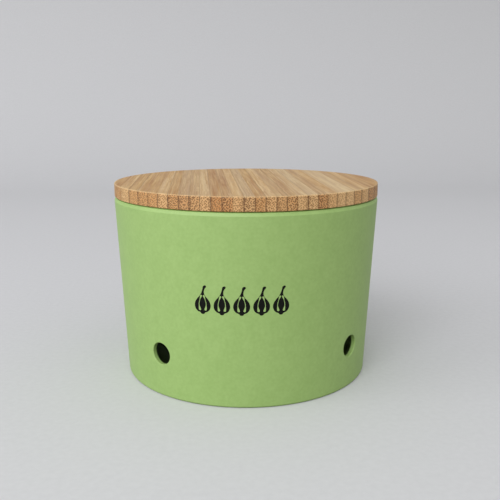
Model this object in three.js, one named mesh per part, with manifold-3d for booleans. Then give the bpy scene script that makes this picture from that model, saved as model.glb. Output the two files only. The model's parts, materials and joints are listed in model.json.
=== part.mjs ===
// Garlic keeper: a tapered canister of bamboo-fibre composite with round vents low in its wall,
// and a lid turned from a board of edge-glued bamboo strips, which lifts straight off the rim.
// Millimetres, +Z up, the foot on z = 0 at the origin, the front towards -Y.
import * as THREE from "three";
import { mergeVertices } from "three/addons/utils/BufferGeometryUtils.js";
import Module from "manifold-3d";

const wasm = await Module();
wasm.setup();

// Canister
const CANISTER_HEIGHT = 98.1;
const BASE_RADIUS = 67.8;
const RIM_FLARE = 4.7;
const RIM_RADIUS = BASE_RADIUS + RIM_FLARE;
const WALL = 2.4;
const FLOOR = 3;
const FLOOR_FILLET = 6;
const RIM_BEVEL_HEIGHT = 2.2;
const RIM_BEVEL_DEPTH = 0.7;
const RIM_INNER_FILLET = 0.4;
const BASE_FILLET = 1.2;
const FOOT_WIDTH = 5;
const FOOT_HEIGHT = 0.8;

// Vents, spread evenly round the wall
const VENT_COUNT = 4;
const VENT_DIAMETER = 11.6;
const VENT_HEIGHT = 23.2;
const FIRST_VENT_ANGLE = THREE.MathUtils.degToRad(-42.6);

// Lid: the edge plate lies on the rim, and the plug below it drops inside the wall
const BOARD_THICKNESS = 12;
const PLATE_THICKNESS = 7.05;
const LID_INSET = 0.2;
const LID_RADIUS = RIM_RADIUS - LID_INSET;
const PLUG_CLEARANCE = 0.7;
const PLATE_TOP_FILLET = 0.6;
const PLATE_UNDER_FILLET = 0.4;
const PLUG_FILLET = 0.8;

// Bamboo strips, which run from front to back and are glued edge to edge. The round cut leaves
// only a sliver of the outermost strip on the left, and a part of one more on the right.
const STRIPS_ACROSS = 29;
const STRIP_WIDTH = (2 * LID_RADIUS) / STRIPS_ACROSS;
const LEFT_SLIVER_WIDTH = 1.45;

// How far a cutting body runs past what it cuts
const OVERRUN = 4;

// Facets
const ROUND_FACETS = 96;
const VENT_FACETS = 32;
const ARC_FACETS = 3;

// Looks: most strips are tan, and those that are paler or browner are counted from the left
const CANISTER_COLOUR = "#9dbb77";
const CANISTER_ROUGHNESS = 0.75;
const BAMBOO_ROUGHNESS = 0.6;
const PALE_BAMBOO_COLOUR = "#cdaa7d";
const TAN_BAMBOO_COLOUR = "#bf9a68";
const BROWN_BAMBOO_COLOUR = "#a9743f";
const PALE_STRIPS = [1, 3, 7, 11, 14, 17, 20, 21, 23, 24, 25, 27];
const BROWN_STRIPS = [2, 9, 12, 13, 22, 28, 29, 30];

// Outside and inside radius of the straight, tapered wall at a height
const outerRadius = (z) => BASE_RADIUS + (RIM_FLARE * z) / CANISTER_HEIGHT;
const innerRadius = (z) => outerRadius(z) - WALL;

// Points through corners [radius, height, fillet], each fillet an arc that meets both its sides.
function filletedProfile(corners) {
  return corners.flatMap(([radius, height, fillet], i) => {
    const corner = new THREE.Vector2(radius, height);
    if (!fillet) return [corner];
    const back = new THREE.Vector2(...corners[i - 1]).sub(corner).normalize();
    const ahead = new THREE.Vector2(...corners[i + 1]).sub(corner).normalize();
    const halfAngle = Math.acos(back.dot(ahead)) / 2;
    const run = fillet / Math.tan(halfAngle);
    const bisector = back.clone().add(ahead).normalize();
    const centre = corner.clone().addScaledVector(bisector, fillet / Math.sin(halfAngle));
    const start = corner.clone().addScaledVector(back, run).sub(centre).angle();
    const end = corner.clone().addScaledVector(ahead, run).sub(centre).angle();
    const clockwise = back.cross(ahead) > 0;
    const arc = new THREE.EllipseCurve(centre.x, centre.y, fillet, fillet, start, end, clockwise);
    return arc.getPoints(ARC_FACETS);
  });
}

// A profile of radius and height turned about the Z axis.
function turned(corners) {
  return new THREE.LatheGeometry(filletedProfile(corners), ROUND_FACETS).rotateX(Math.PI / 2);
}

// A closed geometry as a solid that can be cut.
function solidOf(geometry) {
  geometry.deleteAttribute("normal");
  geometry.deleteAttribute("uv");
  const merged = mergeVertices(geometry);
  return new wasm.Manifold(
    new wasm.Mesh({
      numProp: 3,
      vertProperties: merged.attributes.position.array,
      triVerts: new Uint32Array(merged.index.array),
    }),
  );
}

// A cut solid as a geometry again.
function geometryOf(solid) {
  const { vertProperties, triVerts } = solid.getMesh();
  const geometry = new THREE.BufferGeometry();
  geometry.setAttribute("position", new THREE.BufferAttribute(vertProperties, 3));
  geometry.setIndex(new THREE.BufferAttribute(triVerts, 1));
  geometry.computeVertexNormals();
  return geometry;
}

function namedMesh(name, solid, color, roughness) {
  const material = new THREE.MeshStandardMaterial({ color, roughness, metalness: 0 });
  const mesh = new THREE.Mesh(geometryOf(solid), material);
  mesh.name = name;
  return mesh;
}

// One round cutter through the wall, level and pointing straight out from the axis.
function ventCutter(angle) {
  const wallMiddle = (outerRadius(VENT_HEIGHT) + innerRadius(VENT_HEIGHT)) / 2;
  const cutter = new THREE.CylinderGeometry(
    VENT_DIAMETER / 2,
    VENT_DIAMETER / 2,
    WALL + 2 * OVERRUN,
    VENT_FACETS,
  );
  // The cylinder lies along -Y, and is then turned round the axis to its place.
  return cutter.translate(0, -wallMiddle, VENT_HEIGHT).rotateZ(angle);
}

// The canister: a foot ring under a floor, a tapered wall, a bevelled rim and the vents.
function canister() {
  const footOuter = BASE_RADIUS;
  const footInner = footOuter - FOOT_WIDTH;
  const floorTop = FOOT_HEIGHT + FLOOR;
  const bevelFoot = CANISTER_HEIGHT - RIM_BEVEL_HEIGHT;
  let solid = solidOf(
    turned([
      [0, FOOT_HEIGHT],
      [footInner - FOOT_HEIGHT, FOOT_HEIGHT],
      [footInner, 0],
      [footOuter, 0, BASE_FILLET],
      [outerRadius(bevelFoot), bevelFoot],
      [RIM_RADIUS - RIM_BEVEL_DEPTH, CANISTER_HEIGHT],
      [innerRadius(CANISTER_HEIGHT), CANISTER_HEIGHT, RIM_INNER_FILLET],
      [innerRadius(floorTop), floorTop, FLOOR_FILLET],
      [0, floorTop],
    ]),
  );
  for (let i = 0; i < VENT_COUNT; i++) {
    const angle = FIRST_VENT_ANGLE + (i * 2 * Math.PI) / VENT_COUNT;
    solid = solid.subtract(solidOf(ventCutter(angle)));
  }
  return namedMesh("canister", solid, CANISTER_COLOUR, CANISTER_ROUGHNESS);
}

// The whole lid board before it is parted into strips. Its plate's underside is at height zero.
function lidBoard() {
  const plugDepth = BOARD_THICKNESS - PLATE_THICKNESS;
  const mouthRadius = Math.min(
    innerRadius(CANISTER_HEIGHT),
    innerRadius(CANISTER_HEIGHT - plugDepth),
  );
  const plugRadius = mouthRadius - PLUG_CLEARANCE;
  return solidOf(
    turned([
      [0, -plugDepth],
      [plugRadius, -plugDepth, PLUG_FILLET],
      [plugRadius, 0],
      [LID_RADIUS, 0, PLATE_UNDER_FILLET],
      [LID_RADIUS, PLATE_THICKNESS, PLATE_TOP_FILLET],
      [0, PLATE_THICKNESS],
    ]),
  );
}

function bambooColour(number) {
  if (PALE_STRIPS.includes(number)) return PALE_BAMBOO_COLOUR;
  return BROWN_STRIPS.includes(number) ? BROWN_BAMBOO_COLOUR : TAN_BAMBOO_COLOUR;
}

// The lid, with its strips numbered from left to right as seen from the front.
function lid() {
  const board = lidBoard();
  const firstGlueLine = LEFT_SLIVER_WIDTH - LID_RADIUS;
  const group = new THREE.Group();
  for (let number = 1; number <= STRIPS_ACROSS + 1; number++) {
    const middle = firstGlueLine + (number - 3 / 2) * STRIP_WIDTH;
    const slab = new THREE.BoxGeometry(
      STRIP_WIDTH,
      2 * (LID_RADIUS + OVERRUN),
      2 * (BOARD_THICKNESS + OVERRUN),
    ).translate(middle, 0, 0);
    const name = "lid_strip_" + String(number).padStart(2, "0");
    const strip = board.intersect(solidOf(slab));
    group.add(namedMesh(name, strip, bambooColour(number), BAMBOO_ROUGHNESS));
  }
  return group;
}

const keeper = new THREE.Group();
keeper.add(canister());
const liftOffLid = lid();
liftOffLid.position.z = CANISTER_HEIGHT;
keeper.add(liftOffLid);

export default keeper;
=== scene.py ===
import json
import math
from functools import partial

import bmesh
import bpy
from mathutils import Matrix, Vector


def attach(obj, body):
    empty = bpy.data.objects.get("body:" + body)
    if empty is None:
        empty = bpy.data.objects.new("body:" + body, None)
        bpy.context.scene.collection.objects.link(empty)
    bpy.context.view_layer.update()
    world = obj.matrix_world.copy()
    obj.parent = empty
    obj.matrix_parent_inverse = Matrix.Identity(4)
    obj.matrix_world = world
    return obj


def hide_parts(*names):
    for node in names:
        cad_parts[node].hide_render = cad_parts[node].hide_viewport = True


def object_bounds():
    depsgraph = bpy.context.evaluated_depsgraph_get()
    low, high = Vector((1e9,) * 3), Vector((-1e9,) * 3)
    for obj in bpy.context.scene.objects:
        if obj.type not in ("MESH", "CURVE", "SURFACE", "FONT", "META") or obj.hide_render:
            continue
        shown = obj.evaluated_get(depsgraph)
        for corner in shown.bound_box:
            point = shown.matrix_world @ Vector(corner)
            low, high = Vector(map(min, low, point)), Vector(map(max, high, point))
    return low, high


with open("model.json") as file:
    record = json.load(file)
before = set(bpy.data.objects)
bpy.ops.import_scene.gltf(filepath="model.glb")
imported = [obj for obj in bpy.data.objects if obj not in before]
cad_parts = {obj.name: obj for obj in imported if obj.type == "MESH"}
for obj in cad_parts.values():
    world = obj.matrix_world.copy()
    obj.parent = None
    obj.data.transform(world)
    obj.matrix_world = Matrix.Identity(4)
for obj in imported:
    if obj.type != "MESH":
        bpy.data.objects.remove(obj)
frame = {"record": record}
CAD_LOW, CAD_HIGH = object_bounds()

# %% [markdown]
# # A keeper for garlic bulbs
# The real object is a cup moulded from bamboo fibre and resin, a little wider at its rim than at
# its foot, with round vents low in its wall so that the bulbs stay dry. A round lid cut from a
# glued bamboo board lies on the rim and lifts straight off.
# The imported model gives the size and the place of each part. Here each part gets a finer surface
# in the same place: a spun cup with softly rounded edges, thirty strips of bamboo, and a printed
# row of garlic bulbs. Lengths are written in millimetres, as a maker would measure them, and
# turned to metres when a piece is done.

MM = 0.001
UP = Vector((0, 0, 1))

scene = bpy.context.scene
scene.view_settings.view_transform = "Standard"
packed = (CAD_HIGH - CAD_LOW) / MM
print(f"the packed model measures {packed.x:.1f} x {packed.y:.1f} x {packed.z:.1f} mm")

# %% [markdown]
# ## Dimensions
# The wall is a straight taper, so two radii and a height describe it, and every other height on
# the wall gets its radius from them. Angles are measured round the upright axis, from the front
# towards the right. The vents stand a quarter turn apart, and the first one is left of the middle
# of the front.
# The lid is 29 strips wide, but its first glue line lies only a millimetre and a half from its
# left side. So 28 strips are whole, and a sliver of a strip is left at each side.

# %% Dimensions of the cup and the lid
CUP_HEIGHT = 98.1
BASE_RADIUS = 67.8
RIM_FLARE = 4.7
RIM_BEVEL_HEIGHT = 2.2
RIM_BEVEL_DEPTH = 0.7
RIM_SLOPE = 0.65
WALL = 2.4
FLOOR = 3
FOOT_WIDTH = 5
FOOT_HEIGHT = 0.8

VENT_COUNT = 4
VENT_RADIUS = 5.8
VENT_HEIGHT = 23.2
FIRST_VENT_ANGLE = math.radians(-42.6)

LID_INSET = 0.2
LID_RADIUS = BASE_RADIUS + RIM_FLARE - LID_INSET
PLATE_THICKNESS = 7.05
PLUG_DEPTH = 4.95
PLUG_CLEARANCE = 0.7
STRIPS_ACROSS = 29
STRIP_WIDTH = 2 * LID_RADIUS / STRIPS_ACROSS
FIRST_SLIVER = 1.45
FIRST_GLUE_LINE = FIRST_SLIVER - LID_RADIUS


def wall_radius(height):
    """Outside radius of the tapered wall, in millimetres."""
    return BASE_RADIUS + RIM_FLARE * height / CUP_HEIGHT


def wall_point(angle, height, depth=0):
    """A point on the wall, or depth millimetres out from it; a negative depth lies inside."""
    radius = wall_radius(height) + depth
    return Vector((radius * math.sin(angle), -radius * math.cos(angle), height))


print(f"the wall leans out by {math.degrees(math.atan(RIM_FLARE / CUP_HEIGHT)):.2f} degrees")
print(f"a strip is {STRIP_WIDTH:.2f} mm wide")

# %% [markdown]
# ## Turning a profile
# Cup and lid are both round, so each starts as half of its outline, a thin line of corners in one
# upright plane. Cutting a cylinder and boring it out would also work, but a turned outline keeps
# every radius in one list. Each corner is rounded by a vertex bevel, which swaps the corner for an
# arc that meets both of its sides. The rounding radius fixes how far along the sides the arc
# starts. Then the line is spun about the axis.

# %% Rounded outlines and spinning
ARC_SEGMENTS = 8
MERGE_DISTANCE = 0.001


def rounded_outline(corners):
    """A bmesh with one line through the corners (radius, height, rounding), each one rounded."""
    outline = bmesh.new()
    points = [outline.verts.new((radius, 0, height)) for radius, height, _ in corners]
    for start, end in zip(points, points[1:]):
        outline.edges.new((start, end))
    for point, (_, _, rounding) in zip(points, corners):
        if rounding:
            back, ahead = (edge.other_vert(point).co - point.co for edge in point.link_edges)
            run = rounding / math.tan(back.angle(ahead) / 2)
            bmesh.ops.bevel(
                outline,
                geom=[point],
                offset=run,
                offset_type="OFFSET",
                segments=ARC_SEGMENTS,
                profile=0.5,
                affect="VERTICES",
                material=-1,
            )
    return outline


def spin_round(outline, steps):
    """Spins the outline a full turn about the upright axis and closes it at the axis."""
    bmesh.ops.spin(
        outline,
        geom=outline.verts[:] + outline.edges[:],
        cent=(0, 0, 0),
        axis=UP,
        angle=math.tau,
        steps=steps,
        use_merge=True,
    )
    bmesh.ops.remove_doubles(outline, verts=outline.verts, dist=MERGE_DISTANCE)
    bmesh.ops.recalc_face_normals(outline, faces=outline.faces)
    return outline


def everything(mesh):
    """All points, edges and faces of a bmesh, which a cut by a plane has to be given."""
    return mesh.verts[:] + mesh.edges[:] + mesh.faces[:]


print(f"a rounded corner has {ARC_SEGMENTS} segments")

# %% [markdown]
# ## From millimetres to a finished piece
# Every piece ends the same way: its mesh is scaled to metres, shaded smooth, given its material,
# and told which body it moves with, and the part of the imported model that it stands for is
# hidden. Its object stays at the origin. A Weighted Normal modifier turns the shading at each edge
# towards the larger face, so that a flat top stays flat to the eye right up to its rounded edge.

# %% Finishing a piece
SLOT_OF_NODE = {part["node"]: part["material_slot"] for part in frame["record"]["subparts"]}


def placed(mesh, name, material, smooth=True):
    """Makes the millimetre bmesh an object of the scene, in metres and with its material."""
    bmesh.ops.scale(mesh, vec=(MM, MM, MM), verts=mesh.verts)
    for face in mesh.faces:
        face.smooth = smooth
    data = bpy.data.meshes.new(name)
    mesh.to_mesh(data)
    mesh.free()
    data.materials.append(material)
    made = bpy.data.objects.new(name, data)
    scene.collection.objects.link(made)
    return made


def finished(mesh, name, material, body, node=None, smooth=True):
    """Makes the bmesh a piece of the keeper that rides on a body, and hides the CAD node it stands
    for.
    """
    piece = placed(mesh, name, material, smooth)
    if smooth:
        piece.modifiers.new("even shading", "WEIGHTED_NORMAL").keep_sharp = True
    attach(piece, body)
    if node:
        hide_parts(node)
    return piece


print(f"{len(SLOT_OF_NODE)} parts of the packed model have a finish to name")

# %% [markdown]
# ## Building materials
# Colours are picked as sRGB hex, the way they look on a screen, while Blender's sockets take
# linear light, so one function turns one into the other. Another adds a node with its settings
# and fills its inputs, each with a value or with a link from another node. Each material has that
# function tied to its own tree, under the short name add.
# All patterns read Object coordinates, scaled up so that one unit is a millimetre. Each piece sits
# at the origin unscaled, so a pattern has its real size, and fibre runs on from one face of a
# piece to the next.

# %% Colour and node helpers
def linear(hex_colour):
    """An sRGB colour such as #9dbb77 as the linear colour that a socket takes."""
    channels = [int(hex_colour[start : start + 2], 16) / 255 for start in (1, 3, 5)]
    return [c / 12.92 if c <= 0.04045 else ((c + 0.055) / 1.055) ** 2.4 for c in channels] + [1]


def fill(node, inputs):
    """Fills a node's inputs: a list goes into the open ones in order, a dictionary by name."""
    if isinstance(inputs, dict):
        pairs = [(node.inputs[name], value) for name, value in inputs.items()]
    else:
        pairs = zip([socket for socket in node.inputs if socket.enabled], inputs)
    for socket, value in pairs:
        if isinstance(value, bpy.types.Node):
            value = next(output for output in value.outputs if output.enabled)
        if isinstance(value, bpy.types.NodeSocket):
            node.id_data.links.new(value, socket)
        else:
            socket.default_value = value


def add_node(tree, kind, inputs=(), **options):
    """Adds a node with its options and fills its inputs with values, sockets or other nodes."""
    made = tree.nodes.new("ShaderNode" + kind)
    for option, value in options.items():
        setattr(made, option, value)
    fill(made, inputs)
    return made


print("a mid grey of #808080 is", round(linear("#808080")[0], 3), "in linear light")


# %% A new material, and grain of a known size
def new_material(name):
    """An empty material: what adds its nodes, its shader, the place in millimetres, the normal."""
    material = bpy.data.materials.new(name)
    material.use_nodes = True
    add = partial(add_node, material.node_tree)
    shader = material.node_tree.nodes["Principled BSDF"]
    here = add("TexCoord").outputs
    place = add("Mapping", {"Vector": here["Object"], "Scale": (1 / MM,) * 3})
    return material, add, shader, place, here["Normal"]


def grain(add, place, size, detail=2, stretch=(1, 1, 1)):
    """Noise from 0 to 1 whose blobs are about size millimetres across, drawn out by stretch."""
    scale = [1 / (size * longer) for longer in stretch]
    scaled = add("Mapping", {"Vector": place, "Scale": scale})
    return add("TexNoise", {"Vector": scaled, "Scale": 1, "Detail": detail})


# %% [markdown]
# ## The cup's finish: bamboo-fibre composite
# Ground bamboo fibre and a resin are pressed hot in a steel mould. The result is matte and even,
# with a faint cloudiness where fibre and resin did not mix fully, and very short fibres just under
# the skin. So the green varies by a few parts in a hundred in clouds of 7 mm and spots of 1.6 mm,
# and fibres of 0.35 mm show as fine flecks. A photograph or a painted map could give the same, but
# noise needs no seam round the wall.
# Such a resin bends light more than most plastics, with an index of 1.65, so the matte wall has a
# clear sheen. The fibres stand out of it by a few hundredths of a millimetre.

# %% Composite of the cup
CLOUD_SIZE = 7
SPOT_SIZE = 1.6
FIBRE_SIZE = 0.35
FIBRE_RELIEF = 0.03
COMPOSITE_IOR = 1.65


def pressed_bamboo_composite():
    """Matte green with clouds, spots and flecks."""
    material, add, shader, place, _ = new_material("pressed_bamboo_composite")
    clouds = grain(add, place, CLOUD_SIZE)
    spots = grain(add, place, SPOT_SIZE, detail=3)
    fibres = grain(add, place, FIBRE_SIZE, detail=4)
    cloudy = add("Math", [clouds, 0.4], operation="MULTIPLY")
    tone = add("Math", [spots, 0.6, cloudy], operation="MULTIPLY_ADD")
    paler = add("MapRange", [tone, 0.35, 0.65, 0, 1])
    green = add("Mix", [paler, linear("#a3c774"), linear("#add07e")], data_type="RGBA")
    fleck = add("MapRange", [fibres, 0.62, 0.75, 0, 0.1])
    green = add("Mix", [fleck, green, linear("#6f8a4c")], data_type="RGBA")
    pale_fleck = add("MapRange", [fibres, 0.38, 0.25, 0, 0.1])
    green = add("Mix", [pale_fleck, green, linear("#c9dcae")], data_type="RGBA")
    roughness = add("MapRange", [tone, 0.35, 0.65, 0.5, 0.58])
    skin = add("Math", [fibres, 0.5, spots], operation="MULTIPLY_ADD")
    bump = add("Bump", {"Height": skin, "Strength": 0.6, "Distance": FIBRE_RELIEF * MM})
    fill(shader, {"Base Color": green, "Roughness": roughness, "Normal": bump})
    fill(shader, {"IOR": COMPOSITE_IOR})
    return material


COMPOSITE = pressed_bamboo_composite()
print("made", COMPOSITE.name)

# %% [markdown]
# ## Turning the cup
# One outline gives the foot ring, the wall, the rim and the inside with its rounded floor. The
# recess inside the foot ring has a side that slopes, so that the mould lets go of it. The rim's
# top falls away outwards by 0.65 mm, which shows as a thin dark line under the lid.
# The outline is spun in 256 steps, so that 64 of them lie between two vents. The whole cup is then
# turned until a column of edges runs through the middle of the first vent, and level cuts add rows
# of edges there. That leaves square cells of wall round each vent, which the next step opens.

# %% The cup's outline
FOOT_ROUNDING = 0.5
HEEL_ROUNDING = 1.2
BEVEL_ROUNDING = 0.25
RIM_ROUNDING = 0.5
MOUTH_ROUNDING = 0.3
FLOOR_FILLET = 6

foot_inside = BASE_RADIUS - FOOT_WIDTH
bevel_foot = CUP_HEIGHT - RIM_BEVEL_HEIGHT
floor_top = FOOT_HEIGHT + FLOOR
cup = rounded_outline(
    [
        (0, FOOT_HEIGHT, 0),
        (foot_inside - FOOT_HEIGHT, FOOT_HEIGHT, FOOT_ROUNDING),
        (foot_inside, 0, FOOT_ROUNDING),
        (BASE_RADIUS, 0, HEEL_ROUNDING),
        (wall_radius(bevel_foot), bevel_foot, BEVEL_ROUNDING),
        (wall_radius(CUP_HEIGHT) - RIM_BEVEL_DEPTH, CUP_HEIGHT - RIM_SLOPE, RIM_ROUNDING),
        (wall_radius(CUP_HEIGHT) - WALL, CUP_HEIGHT, MOUTH_ROUNDING),
        (wall_radius(floor_top) - WALL, floor_top, FLOOR_FILLET),
        (0, floor_top, 0),
    ]
)
print(f"the outline has {len(cup.verts)} points")

# %% The cup's wall
COLUMNS = 256
WINDOW_CELLS = 12
HALF_WINDOW = WINDOW_CELLS / 2
HALF_CELL = 0.5
CELL = math.tau * wall_radius(VENT_HEIGHT) / COLUMNS
CELL_ANGLE = math.tau / COLUMNS

spin_round(cup, COLUMNS)
turn = Matrix.Rotation(FIRST_VENT_ANGLE, 3, UP)
bmesh.ops.rotate(cup, cent=(0, 0, 0), matrix=turn, verts=cup.verts)
for row in range(WINDOW_CELLS + 1):
    level = Vector((0, 0, VENT_HEIGHT + (row - HALF_WINDOW) * CELL))
    bmesh.ops.bisect_plane(cup, geom=everything(cup), plane_co=level, plane_no=UP)
print(f"the cup has {len(cup.faces)} faces, and a cell is {CELL:.2f} mm")

# %% [markdown]
# ## Moulding the vents
# A moulded hole has softly rounded edges inside and out. A boolean cut would leave sharp edges and
# thin slivers that catch the light. Instead a window of wall cells is taken out, inside and
# outside. A collar with rounded lips is spun flat, one lip for each face of the wall, and has as
# many steps as the window has edges, so each lip bridges to its window with clean four-sided
# faces.
# Before that the collar is laid on the wall: across goes round the wall and up stays up. The bore
# stays straight, as a pin in the mould leaves it.

# %% The collar of a vent
LIP_ROUNDING = 0.4
COLLAR_WIDTH = 2.6
WINDOW_SIDES = 4

collar = rounded_outline(
    [
        (VENT_RADIUS + COLLAR_WIDTH, 0, 0),
        (VENT_RADIUS, 0, LIP_ROUNDING),
        (VENT_RADIUS, -WALL, LIP_ROUNDING),
        (VENT_RADIUS + COLLAR_WIDTH, -WALL, 0),
    ]
)
spin_round(collar, WINDOW_SIDES * WINDOW_CELLS)
collar_mesh = bpy.data.meshes.new("vent collar")
collar.to_mesh(collar_mesh)
collar.free()
print(f"the collar has {len(collar_mesh.polygons)} faces")


# %% Where the vents are
def turn_between(first, second):
    """The angle from one direction round the axis to another, in radians, the short way."""
    return (first - second + math.pi) % math.tau - math.pi


def near_vent(point, vent_angle, cells):
    """Whether a point is on the wall and within so many cells of a vent's middle, both ways."""
    angle = math.atan2(point.x, -point.y)
    across = abs(turn_between(angle, vent_angle)) / CELL_ANGLE
    return across < cells and abs(point.z - VENT_HEIGHT) / CELL < cells


def open_rings(vent_angle, is_outside):
    """The open edges of the window and of the collar's lip, on one face of the wall."""
    rings = []
    for edge in cup.edges:
        middle = (edge.verts[0].co + edge.verts[1].co) / 2
        if edge.is_boundary and near_vent(middle, vent_angle, HALF_WINDOW + HALF_CELL):
            depth = middle.xy.length - wall_radius(middle.z)
            if (depth > -WALL / 2) == is_outside:
                rings.append(edge)
    return rings


print(f"the first vent is {math.degrees(FIRST_VENT_ANGLE):.1f} degrees from the front")

# %% The vents
for number in range(VENT_COUNT):
    vent_angle = FIRST_VENT_ANGLE + number * math.tau / VENT_COUNT
    window = [
        face
        for face in cup.faces
        if near_vent(face.calc_center_median(), vent_angle, HALF_WINDOW)
    ]
    bmesh.ops.delete(cup, geom=window, context="FACES")
    wall_verts = set(cup.verts)
    cup.from_mesh(collar_mesh)
    for vert in [vert for vert in cup.verts if vert not in wall_verts]:
        across, up, depth = vert.co
        height = VENT_HEIGHT + up
        straight = math.asin(across / (wall_radius(height) + depth))
        vert.co = wall_point(vent_angle + straight, height, depth)
    for is_outside in (True, False):
        bmesh.ops.bridge_loops(cup, edges=open_rings(vent_angle, is_outside))
    print(f"vent {number + 1} opened {len(window)} cells")

bmesh.ops.recalc_face_normals(cup, faces=cup.faces)
open_edges = sum(edge.is_boundary for edge in cup.edges)
print(f"the cup has {len(cup.faces)} faces and {open_edges} open edges")
finished(cup, "composite_cup", COMPOSITE, "canister", "canister")

# %% [markdown]
# ## The lid's finish: bamboo
# A bamboo board is glued up from strips of the stem's wall, and each strip keeps its own tone.
# Dark bundles of fibre run the length of a strip in pale, soft tissue. Cut across, on the front
# edge of the lid, they are dots about half a millimetre wide in alternating rows, and cut
# lengthwise, on its top, they are long thin lines. They are thickest and the tissue is brownest on
# the side that was the outside of the stem.
# One solid pattern does all this. It is a flat Voronoi texture with cells of just under a
# millimetre that stand on their corners. It is the same all along the strip, so the cut decides
# whether it shows dots or lines. Separate images for top and edge would not meet at the rounded
# corner. White noise gives each strip three chances of its own, and moves the pattern to a fresh
# place. The seed is one that puts the palest strips to the right of the middle. Their paler tone
# is partly the strips' own and partly a painted sheen on that side of the lid.
# The board was sanded and wiped with oil, which leaves it matte with a soft sheen. Some glue lines
# are dark. The cut ends are rougher than the top, so they drink more oil and look deeper and
# flatter. Along the rounded top edge a pale colour is blended in as a painted highlight.

# %% Where a point lies in its strip
STRIP_SEED = 416534.5
STRIP_SHIFT = (300, 900, 300)
DRIFT_SIZE = 18
DRIFT = 1.6


def strip_position(add, place):
    """How many strips across a point lies, its strip's number, and the strip's three chances."""
    sideways = add("SeparateXYZ", [place]).outputs["X"]
    strips_left_of_middle = -FIRST_GLUE_LINE / STRIP_WIDTH
    inputs = [sideways, 1 / STRIP_WIDTH, strips_left_of_middle]
    across = add("Math", inputs, operation="MULTIPLY_ADD")
    strip = add("Math", [across], operation="FLOOR")
    seed = add("Math", [strip, STRIP_SEED], operation="ADD")
    noise = add("TexWhiteNoise", {"W": seed}, noise_dimensions="1D")
    return across, strip, noise.outputs["Color"]


def grown_place(add, place, chances):
    """The place in the strip's own part of the pattern, drifting a little as the stem grew."""
    own_place = add("VectorMath", [chances, STRIP_SHIFT, place], operation="MULTIPLY_ADD")
    wander = grain(add, own_place, DRIFT_SIZE)
    drift = add("Math", [wander, DRIFT, -DRIFT / 2], operation="MULTIPLY_ADD")
    sideways = add("CombineXYZ", {"X": drift, "Z": drift})
    return add("VectorMath", [own_place, sideways], operation="ADD")


print(f"the pattern counts strips of {STRIP_WIDTH:.3f} mm from x = {FIRST_GLUE_LINE:.2f} mm")

# %% Fibre bundles and glue lines
BUNDLE_SPACING = 0.87
BUNDLE_RANDOMNESS = 0.7
THIN_BUNDLE, THICK_BUNDLE = 0.36, 0.48
GLUE_CORE = 0.1
GLUE_REACH = 0.34
GLUE_BLOT_SIZE = 1.3


def fibre_bundles(add, place, crowding):
    """1 in the bundles of fibre and 0 in the tissue; bundles grow with crowding, from 0 to 1."""
    end_on = (math.radians(90), 0, math.radians(45))
    rows = add("Mapping", {"Vector": place, "Rotation": end_on})
    cells = {"Vector": rows, "Scale": 1 / BUNDLE_SPACING, "Randomness": BUNDLE_RANDOMNESS}
    bundles = add("TexVoronoi", cells, feature="F1", voronoi_dimensions="2D")
    reach = add("MapRange", [crowding, 0, 1, THIN_BUNDLE, THICK_BUNDLE])
    distance = add("Math", [bundles, reach], operation="DIVIDE")
    return add("MapRange", [distance, 1.12, 0.55, 0, 1], interpolation_type="SMOOTHSTEP")


def glue_lines(add, across, place, cut_across):
    """The strength of the dark line where two strips meet, which differs from line to line."""
    line = add("Math", [across], operation="ROUND")
    beside_line = add("Math", [across, line], operation="SUBTRACT")
    from_line = add("Math", [beside_line], operation="ABSOLUTE")
    fade = [from_line, GLUE_REACH / STRIP_WIDTH, GLUE_CORE / STRIP_WIDTH, 0, 1]
    core = add("MapRange", fade, interpolation_type="SMOOTHSTEP")
    filled = add("MapRange", [grain(add, place, GLUE_BLOT_SIZE), 0.35, 0.55, 0.45, 1])
    chance = add("TexWhiteNoise", {"W": line}, noise_dimensions="1D")
    on_top = add("MapRange", [chance, 0.35, 1, 0.08, 0.45])
    on_ends = add("MapRange", [chance, 0, 0.8, 0.35, 0.9])
    strength = add("Mix", [cut_across, on_top, on_ends], data_type="FLOAT")
    dark = add("Math", [core, filled], operation="MULTIPLY")
    return add("Math", [dark, strength], operation="MULTIPLY")


print(f"bundles stand {BUNDLE_SPACING} mm apart")

# %% Colours along and across the grain
STREAK_WIDTH = 0.9
BAND_WIDTH = 2.2
ROSY_WIDTH = 1.7
PORE_WIDTH = 0.3
RAGGEDNESS = 0.5
STREAK_STRETCH = (1, 50, 1)
ROSY_STRETCH = (1, 45, 1)
BAND_STRETCH = (1, 30, 1)


def along_the_grain(add, grown, streaks, paleness_and_sheen, tissue, deep_tissue):
    """The colour of the sanded top: fine streaks on wider bands, with a rosy one here and there."""
    bands = grain(add, grown, BAND_WIDTH, stretch=BAND_STRETCH)
    banded = add("Math", [bands, 0.73], operation="MULTIPLY")
    tone = add("Math", [streaks, 0.42, banded], operation="MULTIPLY_ADD")
    deeper = add("MapRange", [tone, 0.43, 0.72, 0, 1])
    colour = add("Mix", [deeper, linear(tissue), linear(deep_tissue)], data_type="RGBA")
    rosy = grain(add, grown, ROSY_WIDTH, detail=1, stretch=ROSY_STRETCH)
    rosier = add("MapRange", [rosy, 0.48, 0.66, 0, 0.35])
    colour = add("Mix", [rosier, colour, linear("#c0966f")], data_type="RGBA")
    # Partly a painted sheen: strips with a high paleness chance turn paler, and the seed puts them
    # on the right.
    paler = add("Math", [paleness_and_sheen, 0.3], operation="MULTIPLY")
    return add("Mix", [paler, colour, linear("#e5d8b8")], data_type="RGBA")


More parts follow.
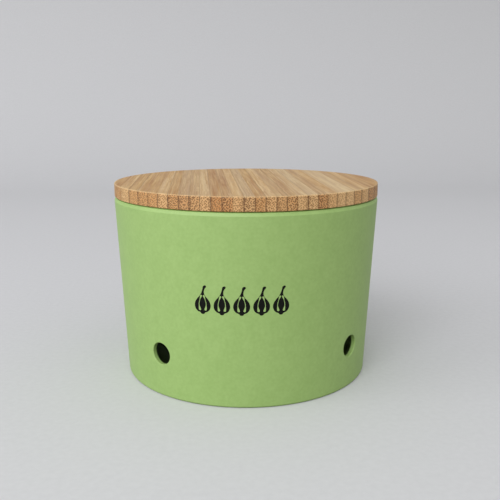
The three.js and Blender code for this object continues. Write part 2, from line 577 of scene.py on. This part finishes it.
def across_the_grain(add, grown, crowding, paleness_and_sheen, cut_tissue):
    """The colour of a cut end: deep and oiled, lighter by the open pores, brown by the bark."""
    pores = grain(add, grown, PORE_WIDTH, stretch=BAND_STRETCH)
    lighter = add("MapRange", [pores, 0.42, 0.66, 0.06, 0.8])
    colour = add("Mix", [lighter, linear(cut_tissue), linear("#e8c38d")], data_type="RGBA")
    # Partly a painted sheen: the same paleness lightens the cut ends of the right-hand strips.
    paler = add("Math", [paleness_and_sheen, 0.35], operation="MULTIPLY")
    colour = add("Mix", [paler, colour, linear("#f0d29f")], data_type="RGBA")
    patches = grain(add, grown, STREAK_WIDTH, stretch=BAND_STRETCH)
    ragged = add("Math", [patches, RAGGEDNESS, -RAGGEDNESS / 2], operation="MULTIPLY_ADD")
    towards_bark = add("Math", [crowding, ragged], operation="ADD")
    to_rind = [towards_bark, 0.72, 1.05, 0, 0.45]
    rind = add("MapRange", to_rind, interpolation_type="SMOOTHSTEP")
    return add("Mix", [rind, colour, linear("#8a5a30")], data_type="RGBA")


def cut_and_edge(add, facing):
    """How far a point faces along the grain, and how far it lies on the rounded top edge, for a
    painted highlight.
    """
    faces = add("SeparateXYZ", [facing]).outputs
    lengthwise = add("Math", [faces["Y"]], operation="ABSOLUTE")
    cut = add("MapRange", [lengthwise, 0.15, 0.75, 0, 1], interpolation_type="SMOOTHSTEP")
    off_side = add("MapRange", [faces["Z"], 0.1, 0.45, 0, 1], interpolation_type="SMOOTHSTEP")
    off_top = add("MapRange", [faces["Z"], 0.99, 0.85, 0, 1], interpolation_type="SMOOTHSTEP")
    return cut, add("Math", [off_side, off_top], operation="MULTIPLY")


print(f"streaks are {STREAK_WIDTH} mm wide and {STREAK_WIDTH * STREAK_STRETCH[1]:.0f} mm long")

# %% Bamboo of the lid
BARK_LEFT_CHANCE = 0.85
# EDGE_HIGHLIGHT is the share of pale colour painted on the rounded top edge as a highlight.
EDGE_HIGHLIGHT = 0.45
GRAIN_RELIEF = 0.04
OILED_IOR = 1.5


def oiled_bamboo(name, tissue, deep_tissue, cut_tissue, bundle):
    """Bamboo whose tissue runs between two tones, with a third on cut ends, and darker bundles."""
    material, add, shader, place, facing = new_material(name)
    across, strip, chances = strip_position(add, place)
    chance = add("SeparateColor", [chances]).outputs
    grown = grown_place(add, place, chances)
    from_left = add("Math", [across, strip], operation="SUBTRACT")
    bark_left = add("Math", [chance["Red"], BARK_LEFT_CHANCE], operation="LESS_THAN")
    to_bark = add("Math", [bark_left, from_left], operation="SUBTRACT")
    crowding = add("Math", [to_bark], operation="ABSOLUTE")
    # Each strip's paleness is partly its own tone and partly a painted sheen, since the seed puts
    # the palest on the right.
    paleness_and_sheen = add("MapRange", [chance["Green"], 0.6, 1, 0, 1])
    cut_across, top_edge_highlight = cut_and_edge(add, facing)

    streaks = grain(add, grown, STREAK_WIDTH, detail=3, stretch=STREAK_STRETCH)
    along = along_the_grain(add, grown, streaks, paleness_and_sheen, tissue, deep_tissue)
    end = across_the_grain(add, grown, crowding, paleness_and_sheen, cut_tissue)
    colour = add("Mix", [cut_across, along, end], data_type="RGBA")
    bundles = fibre_bundles(add, grown, crowding)
    own_strength = add("MapRange", [chance["Blue"], 0, 0.7, 0.5, 0.85])
    side_strength = add("MapRange", [cut_across, 0, 1, 0.22, 1])
    strength = add("Math", [own_strength, side_strength], operation="MULTIPLY")
    darker = add("Math", [bundles, strength], operation="MULTIPLY")
    colour = add("Mix", [darker, colour, linear(bundle)], data_type="RGBA")
    seam = glue_lines(add, across, place, cut_across)
    colour = add("Mix", [seam, colour, linear("#5e3a1e")], data_type="RGBA")
    # Painted highlight: the rounded top edge is blended towards a pale colour, standing in for the
    # light it catches.
    painted_highlight = add("Math", [top_edge_highlight, EDGE_HIGHLIGHT], operation="MULTIPLY")
    colour = add("Mix", [painted_highlight, colour, linear("#efd5a6")], data_type="RGBA")

    roughness = add("MapRange", [streaks, 0.3, 0.7, 0.5, 0.62])
    torn = add("Math", [cut_across, 0.75], operation="MULTIPLY")
    relief = add("Math", [bundles, -0.6, streaks], operation="MULTIPLY_ADD")
    bump = add("Bump", {"Height": relief, "Strength": 0.5, "Distance": GRAIN_RELIEF * MM})
    fill(shader, {"Base Color": colour, "Roughness": roughness, "Normal": bump})
    fill(shader, {"Diffuse Roughness": torn, "IOR": OILED_IOR})
    return material


# %% The board's three tones
BAMBOO = {
    "bamboo_pale": oiled_bamboo("oiled_bamboo_pale", "#e7c691", "#c99d64", "#edc087", "#94622f"),
    "bamboo_tan": oiled_bamboo("oiled_bamboo_tan", "#dbb67b", "#bb8950", "#dba263", "#7a4a20"),
    "bamboo_brown": oiled_bamboo("oiled_bamboo_brown", "#d7b077", "#b4814a", "#d38f4b", "#70401b"),
}
print("made", ", ".join(sorted(BAMBOO)))

# %% [markdown]
# ## Cutting the lid into strips
# The whole lid is turned first, a plate with a shallower plug below it that drops inside the rim.
# Each strip is then a copy of the lid cut by two upright planes, five millimetres apart, and
# closed with flat faces, just as the strips were flat before they were glued. The edges of those
# flat faces are marked sharp, so that the round edge is shaded round and the glued sides flat.

# %% The lid's outline
ROUND_STEPS = 384
PLUG_ROUNDING = 0.8
PLATE_FOOT_ROUNDING = 0.4
PLATE_TOP_ROUNDING = 0.6

plug_foot = CUP_HEIGHT - PLUG_DEPTH
plug_radius = wall_radius(plug_foot) - WALL - PLUG_CLEARANCE
lid_top = CUP_HEIGHT + PLATE_THICKNESS
lid = rounded_outline(
    [
        (0, plug_foot, 0),
        (plug_radius, plug_foot, PLUG_ROUNDING),
        (plug_radius, CUP_HEIGHT, 0),
        (LID_RADIUS, CUP_HEIGHT, PLATE_FOOT_ROUNDING),
        (LID_RADIUS, lid_top, PLATE_TOP_ROUNDING),
        (0, lid_top, 0),
    ]
)
spin_round(lid, ROUND_STEPS)
print(f"the plug is {2 * plug_radius:.1f} mm across and the plate {2 * LID_RADIUS:.1f} mm")


# %% The lid's strips
def cut_away(mesh, across, outwards):
    """Cuts by an upright plane, drops the side that outwards points to, and closes the cut."""
    cut = bmesh.ops.bisect_plane(
        mesh,
        geom=everything(mesh),
        plane_co=(across, 0, 0),
        plane_no=(outwards, 0, 0),
        clear_outer=True,
    )
    rim = [item for item in cut["geom_cut"] if isinstance(item, bmesh.types.BMEdge)]
    if rim:
        bmesh.ops.edgeloop_fill(mesh, edges=rim)
        for edge in rim:
            edge.smooth = False


for number in range(1, STRIPS_ACROSS + 2):
    right_side = FIRST_GLUE_LINE + (number - 1) * STRIP_WIDTH
    strip = lid.copy()
    cut_away(strip, right_side, 1)
    cut_away(strip, right_side - STRIP_WIDTH, -1)
    stands_for = f"lid_strip_{number:02d}"
    bamboo = BAMBOO[SLOT_OF_NODE[stands_for]]
    finished(strip, f"bamboo_strip_{number:02d}", bamboo, "lid", stands_for)
lid.free()
print(f"cut {STRIPS_ACROSS + 1} strips, {STRIP_WIDTH:.2f} mm wide")

# %% [markdown]
# ## The print on the front
# Ink is screen-printed on the front in a thin, matte black film. Here it is a plain row of garlic
# bulbs, which says what the keeper is for. One bulb is drawn as a flat curve, half of it, and
# mirrored: a curve gives soft outlines from few points, and closed lines inside the outline become
# gaps between the cloves. The stalk leans to the right, further the higher it is.
# The flat drawing becomes a mesh, is sliced every 0.7 mm so that it can bend, and is laid round
# the wall, half of the film's thickness below the skin. Last it gets its own thickness outwards
# and as much again as it was sunk.

# %% Ink
INK_SPECKLE = 0.4
INK_RELIEF = 0.01
INK_GLOSS = 0.15


def screen_print_ink():
    """Matte black film, a little uneven where the screen's mesh left more or less of it."""
    material, add, shader, place, _ = new_material("screen_print_ink")
    speckle = grain(add, place, INK_SPECKLE, detail=3)
    greyer = add("MapRange", [speckle, 0.35, 0.7, 0, 1])
    colour = add("Mix", [greyer, linear("#080a07"), linear("#11130f")], data_type="RGBA")
    roughness = add("MapRange", [speckle, 0.3, 0.7, 0.5, 0.65])
    bump = add("Bump", {"Height": speckle, "Strength": 0.4, "Distance": INK_RELIEF * MM})
    fill(shader, {"Base Color": colour, "Roughness": roughness, "Normal": bump})
    fill(shader, {"Specular IOR Level": INK_GLOSS})
    return material


INK = screen_print_ink()
print("made", INK.name)

# %% Drawing a bulb
PRINT_ANGLE = math.radians(-5.8)
PRINT_FOOT = 48.5
PRINT_WIDTH = 45.5
BULB_COUNT = 5
BULB_WIDTH = 7.9
STALK_FOOT = 8.5
STALK_LEAN = 0.045
CURVE_STEPS = 8

RIGHT_SIDE = [
    (0.62, 13.9),
    (0.5, 12.2),
    (0.62, 10.6),
    (1.3, 9.0),
    (2.75, 7.3),
    (3.8, 5.3),
    (3.85, 3.2),
    (2.75, 1.35),
    (1.1, 0.5),
    (0.75, 0.0),
]
CLOVE_GAP = [(0.5, 9.3), (1.5, 6.9), (1.95, 4.6), (1.25, 1.6), (1.6, 4.6), (1.2, 6.9)]


def closed_curve(drawing, points):
    """Adds a closed, smooth line through the points to a flat curve, and leans its stalk."""
    line = drawing.splines.new("BEZIER")
    line.bezier_points.add(len(points) - 1)
    for knot, (across, up) in zip(line.bezier_points, points):
        lean = STALK_LEAN * max(up - STALK_FOOT, 0) ** 2
        knot.co = (across + lean, up, 0)
        knot.handle_left_type = knot.handle_right_type = "AUTO"
    line.use_cyclic_u = True


def mirrored(points):
    """The points of the left side of a bulb, from those of its right side."""
    return [(-across, up) for across, up in points]


def bulb_drawing():
    """A flat curve of one garlic bulb, with its foot at the origin."""
    drawing = bpy.data.curves.new("bulb", "CURVE")
    drawing.dimensions = "2D"
    drawing.fill_mode = "BOTH"
    drawing.resolution_u = CURVE_STEPS
    closed_curve(drawing, RIGHT_SIDE + mirrored(RIGHT_SIDE)[::-1])
    closed_curve(drawing, CLOVE_GAP)
    closed_curve(drawing, mirrored(CLOVE_GAP))
    return drawing


def flat_mesh(drawing):
    """The filled curve as a mesh."""
    holder = bpy.data.objects.new("drawing", drawing)
    scene.collection.objects.link(holder)
    seen = bpy.context.evaluated_depsgraph_get()
    made = bpy.data.meshes.new_from_object(holder.evaluated_get(seen))
    bpy.data.objects.remove(holder)
    bpy.data.curves.remove(drawing)
    return made


bulb = flat_mesh(bulb_drawing())
print(f"the drawing of a bulb has {len(bulb.polygons)} faces")

# %% A row of bulbs, sliced
SLICE = 0.7
SLICE_CUTS = round(PRINT_WIDTH / SLICE) + 2

bulb_row = bmesh.new()
pitch = (PRINT_WIDTH - BULB_WIDTH) / (BULB_COUNT - 1)
for number in range(BULB_COUNT):
    before = set(bulb_row.verts)
    bulb_row.from_mesh(bulb)
    added = [vert for vert in bulb_row.verts if vert not in before]
    start = (number - (BULB_COUNT - 1) / 2) * pitch
    bmesh.ops.translate(bulb_row, vec=(start, PRINT_FOOT, 0), verts=added)
for cut in range(SLICE_CUTS):
    across = Vector((cut * SLICE - PRINT_WIDTH / 2, 0, 0))
    geom = everything(bulb_row)
    bmesh.ops.bisect_plane(bulb_row, geom=geom, plane_co=across, plane_no=(1, 0, 0))
bmesh.ops.remove_doubles(bulb_row, verts=bulb_row.verts, dist=MERGE_DISTANCE)
print(f"the print has {len(bulb_row.faces)} faces")

# %% Laying the print on the wall
INK_THICKNESS = 0.05
INK_SUNK = INK_THICKNESS / 2

for vert in bulb_row.verts:
    across, up, _ = vert.co
    vert.co = wall_point(PRINT_ANGLE + across / wall_radius(PRINT_FOOT), up, -INK_SUNK)
bulb_row.normal_update()
inward = [face for face in bulb_row.faces if face.normal.dot(face.calc_center_median()) < 0]
bmesh.ops.reverse_faces(bulb_row, faces=inward)
garlic_print = finished(bulb_row, "garlic_print", INK, "canister", smooth=False)
ink_film = garlic_print.modifiers.new("ink film", "SOLIDIFY")
ink_film.thickness = (INK_THICKNESS + INK_SUNK) * MM
ink_film.offset = 1
print(f"turned {len(inward)} faces of the print outwards")

# %% [markdown]
# ## Floor, light and camera
# A product table: a pale sheet that curves up behind the object, so no horizon shows. A wide lamp
# high in front and a second one low on the left give the soft fall of light across the round wall,
# like two windows, and an even grey world fills the shade. A floor this pale would also light the
# wall from below, so the level part is pale only to the camera and in reflections, and a mid grey
# to all other light. The part that stands up behind the object is pale to all light, so the back
# of the object isn't lost in the dark. The lamps and the camera are placed in metres.

# %% Stage
SHEET_WIDTH = 6000
SHEET_FRONT = -2500
SHEET_BACK = 1500
SHEET_TOP = 3000
SHEET_BEND = 700
PAPER_FIBRE_SIZE = 3


def matt_paper():
    """Pale paper to the eye and in reflections, whose floor throws little light on the keeper."""
    material, add, shader, place, facing = new_material("matt_paper")
    fibre = grain(add, place, PAPER_FIBRE_SIZE, detail=3)
    whiter = add("MapRange", [fibre, 0.3, 0.7, 0, 1])
    paper = add("Mix", [whiter, linear("#d8d9df"), linear("#dcdde3")], data_type="RGBA")
    ray = add("LightPath").outputs
    indirect = [ray["Is Glossy Ray"], ray["Is Transmission Ray"]]
    reflected = add("Math", indirect, operation="ADD")
    seen = add("Math", [ray["Is Camera Ray"], reflected], operation="ADD", use_clamp=True)
    level = add("Math", [add("SeparateXYZ", [facing]).outputs["Z"]], operation="ABSOLUTE")
    upright = add("Math", [1, level], operation="SUBTRACT")
    pale = add("Math", [seen, upright], operation="MAXIMUM")
    colour = add("Mix", [pale, linear("#6e6b68"), paper], data_type="RGBA")
    fill(shader, {"Base Color": colour, "Roughness": 0.9})
    return material


sheet = rounded_outline(
    [(SHEET_FRONT, 0, 0), (SHEET_BACK, 0, SHEET_BEND), (SHEET_BACK, SHEET_TOP, 0)]
)
backwards = Matrix.Rotation(math.pi / 2, 3, UP)
bmesh.ops.rotate(sheet, cent=(0, 0, 0), matrix=backwards, verts=sheet.verts)
bmesh.ops.translate(sheet, vec=(-SHEET_WIDTH / 2, 0, 0), verts=sheet.verts)
swept = bmesh.ops.extrude_edge_only(sheet, edges=sheet.edges)["geom"]
far_side = [item for item in swept if isinstance(item, bmesh.types.BMVert)]
bmesh.ops.translate(sheet, vec=(SHEET_WIDTH, 0, 0), verts=far_side)
bmesh.ops.recalc_face_normals(sheet, faces=sheet.faces)
backdrop = placed(sheet, "paper_sheet", matt_paper())
print(f"the sheet is {SHEET_WIDTH * MM:.0f} m wide and rises {SHEET_TOP * MM:.0f} m")

# %% Light
WORLD_STRENGTH = 0.635
LAMP_DISTANCE = 2.5

world = bpy.data.worlds.new("studio")
world.use_nodes = True
sky = {"Color": linear("#f7f6f0"), "Strength": WORLD_STRENGTH}
fill(world.node_tree.nodes["Background"], sky)
scene.world = world


def soft_lamp(name, azimuth, elevation, width, power):
    """A square area lamp that faces the keeper; azimuth runs from the front towards the right."""
    raised = Matrix.Rotation(math.radians(-elevation), 3, "X")
    turned = Matrix.Rotation(math.radians(azimuth), 3, "Z") @ raised
    lamp = bpy.data.lights.new(name, "AREA")
    lamp.shape = "SQUARE"
    lamp.size = width
    lamp.energy = power
    holder = bpy.data.objects.new(name, lamp)
    holder.location = turned @ Vector((0, -LAMP_DISTANCE, 0))
    holder.rotation_euler = (-holder.location).to_track_quat("-Z", "Y").to_euler()
    scene.collection.objects.link(holder)
    print(f"{name} stands {holder.location.z:.2f} m high")


soft_lamp("front_lamp", azimuth=-25, elevation=35, width=1.6, power=26.6)
soft_lamp("side_lamp", azimuth=-72, elevation=20, width=1.4, power=13.5)

# %% Camera
CAMERA_PLACE = (-0.0255, -0.3647, 0.1434)
CAMERA_DOWN = 12.096
CAMERA_RIGHT = 4.378
FOCAL_LENGTH = 47.11
SENSOR_WIDTH = 36
CAMERA_SHIFT = -0.001
NEAREST_SEEN = 0.01

camera = bpy.data.objects.new("camera", bpy.data.cameras.new("camera"))
camera.location = CAMERA_PLACE
camera.rotation_euler = (math.radians(90 - CAMERA_DOWN), 0, math.radians(-CAMERA_RIGHT))
camera.data.sensor_width = SENSOR_WIDTH
camera.data.lens = FOCAL_LENGTH
camera.data.shift_x = CAMERA_SHIFT
camera.data.clip_start = NEAREST_SEEN
scene.collection.objects.link(camera)
scene.camera = camera
print(f"the camera is {camera.location.length:.3f} m from the middle of the foot")
